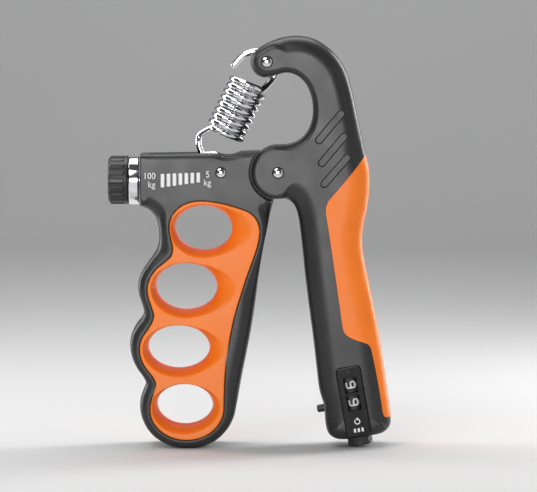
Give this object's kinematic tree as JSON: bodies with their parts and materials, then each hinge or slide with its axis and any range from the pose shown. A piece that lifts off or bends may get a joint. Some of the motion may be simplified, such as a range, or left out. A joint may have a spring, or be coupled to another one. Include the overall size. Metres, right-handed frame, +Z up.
{
  "type": "hand grip dynamometer",
  "caption": "Adjustable spring hand grip with finger holes, a palm handle, a load-setting knob with a scale, and a squeeze counter.",
  "frame": {"origin": "middle of the bounding box at the level the part stands on", "axes": "+Z up as in the picture, +X to the right with the knob on the left, the face with the scale and counter towards -Y"},
  "size_m": [0.11, 0.0242, 0.16],
  "materials": {
    "graphite_plastic": "fine-textured satin",
    "knob_plastic": "satin",
    "orange_rubber": "soft matte",
    "chrome_steel": "polished",
    "plain_steel": "plain",
    "black_gloss": "glossy",
    "drum_plastic": "matte",
    "bearing_brass": "machined"
  },
  "bodies": {
    "grip": {"grip_shell_front": "graphite_plastic", "grip_shell_rear": "graphite_plastic", "finger_insert_front": "orange_rubber", "finger_insert_rear": "orange_rubber", "grip_screw_1": "plain_steel", "grip_screw_2": "plain_steel", "grip_screw_3": "plain_steel", "housing_rivet": "chrome_steel", "pivot_bush": "bearing_brass", "screw_end_bush": "bearing_brass", "thrust_washer": "plain_steel"},
    "knob": {"adjust_knob": "knob_plastic", "knob_cap": "black_gloss", "knob_bolt": "plain_steel", "knob_collar": "chrome_steel", "lead_screw": "plain_steel"},
    "carriage": {"hook_carriage": "plain_steel"},
    "spring_foot": {"lower_hook_pin": "plain_steel"},
    "spring_lower": {"spring_lower_hook": "chrome_steel"},
    "spring_middle": {"spring_coils": "chrome_steel"},
    "spring_upper": {"spring_upper_hook": "chrome_steel"},
    "handle": {"handle_shell_front": "graphite_plastic", "handle_shell_rear": "graphite_plastic", "palm_pad": "orange_rubber", "handle_screw_1": "plain_steel", "handle_screw_2": "plain_steel", "handle_screw_3": "plain_steel", "pivot_pin": "chrome_steel", "pivot_washer_front": "plain_steel", "pivot_washer_rear": "plain_steel", "hook_pin": "chrome_steel", "counter_bezel": "black_gloss", "counter_frame": "black_gloss", "plunger_spring": "plain_steel"},
    "units": {"units_drum": "drum_plastic", "ratchet_wheel": "drum_plastic"},
    "tens": {"tens_drum": "drum_plastic"},
    "carry": {"carry_pinion": "bearing_brass", "carry_shaft": "plain_steel"},
    "reset": {"reset_knob": "knob_plastic", "drum_axle": "plain_steel"},
    "plunger": {"count_plunger": "knob_plastic"}
  },
  "joints": [
    {"name": "main_pivot", "type": "hinge", "parent": "grip", "child": "handle", "pos_m": [0.011, 0, 0.1072], "axis": [0, 1, 0], "range_deg": [0, 18.5], "stiffness_Nm_per_rad": 6, "springref_deg": -5.73},
    {"name": "knob_turn", "type": "hinge", "parent": "grip", "child": "knob", "pos_m": [-0.049, 0, 0.1039], "axis": [1, 0, 0], "range_deg": [0, 3121]},
    {"name": "carriage_slide", "type": "slide", "parent": "grip", "child": "carriage", "axis": [-1, 0, 0], "range_m": [0, 0.013]},
    {"name": "spring_swing_by_knob", "type": "hinge", "parent": "grip", "child": "spring_foot", "pos_m": [-0.0208, 0, 0.17725], "axis": [0, 1, 0], "range_deg": [0, 11.55]},
    {"name": "spring_swing_by_squeeze", "type": "hinge", "parent": "spring_foot", "child": "spring_lower", "pos_m": [-0.0143, 0, 0.1127], "axis": [0, 1, 0], "range_deg": [0, 12.8]},
    {"name": "spring_stretch_by_squeeze", "type": "slide", "parent": "spring_lower", "child": "spring_middle", "axis": [0.4906, 0, 0.8714], "range_m": [0, 0.00855]},
    {"name": "spring_stretch_by_knob", "type": "slide", "parent": "spring_middle", "child": "spring_upper", "axis": [0.4906, 0, 0.8714], "range_m": [0, 0.0088]},
    {"name": "units_turn", "type": "hinge", "parent": "handle", "child": "units", "pos_m": [0.04038, -0.0033, 0.01785], "axis": [-0.1736, 0, 0.9848], "continuous": true},
    {"name": "tens_turn", "type": "hinge", "parent": "handle", "child": "tens", "pos_m": [0.03916, -0.0033, 0.02475], "axis": [-0.1736, 0, 0.9848], "continuous": true},
    {"name": "carry_turn", "type": "hinge", "parent": "handle", "child": "carry", "pos_m": [0.0443, 0.0044, 0.0221], "axis": [-0.1736, 0, 0.9848], "continuous": true},
    {"name": "reset_turn", "type": "hinge", "parent": "handle", "child": "reset", "pos_m": [0.04298, -0.0033, 0.00308], "axis": [-0.1736, 0, 0.9848], "continuous": true},
    {"name": "plunger_press", "type": "slide", "parent": "handle", "child": "plunger", "axis": [0.9848, 0, 0.1736], "range_m": [0, 0.002], "stiffness_N_per_m": 400, "springref_m": -0.0015, "deforming": ["plunger_spring"]}
  ],
  "couplings": [
    {"joint": "knob_turn", "follows": "carriage_slide", "rad_per_m": 4188.8},
    {"joint": "spring_swing_by_knob", "follows": "carriage_slide", "rad_per_m": 15.439},
    {"joint": "spring_stretch_by_knob", "follows": "carriage_slide", "ratio": 0.67308},
    {"joint": "spring_swing_by_squeeze", "follows": "main_pivot", "ratio": 0.68919},
    {"joint": "spring_stretch_by_squeeze", "follows": "main_pivot", "m_per_rad": 0.026325},
    {"joint": "tens_turn", "follows": "units_turn", "ratio": 0.1},
    {"joint": "carry_turn", "follows": "units_turn", "ratio": -0.25}
  ]
}
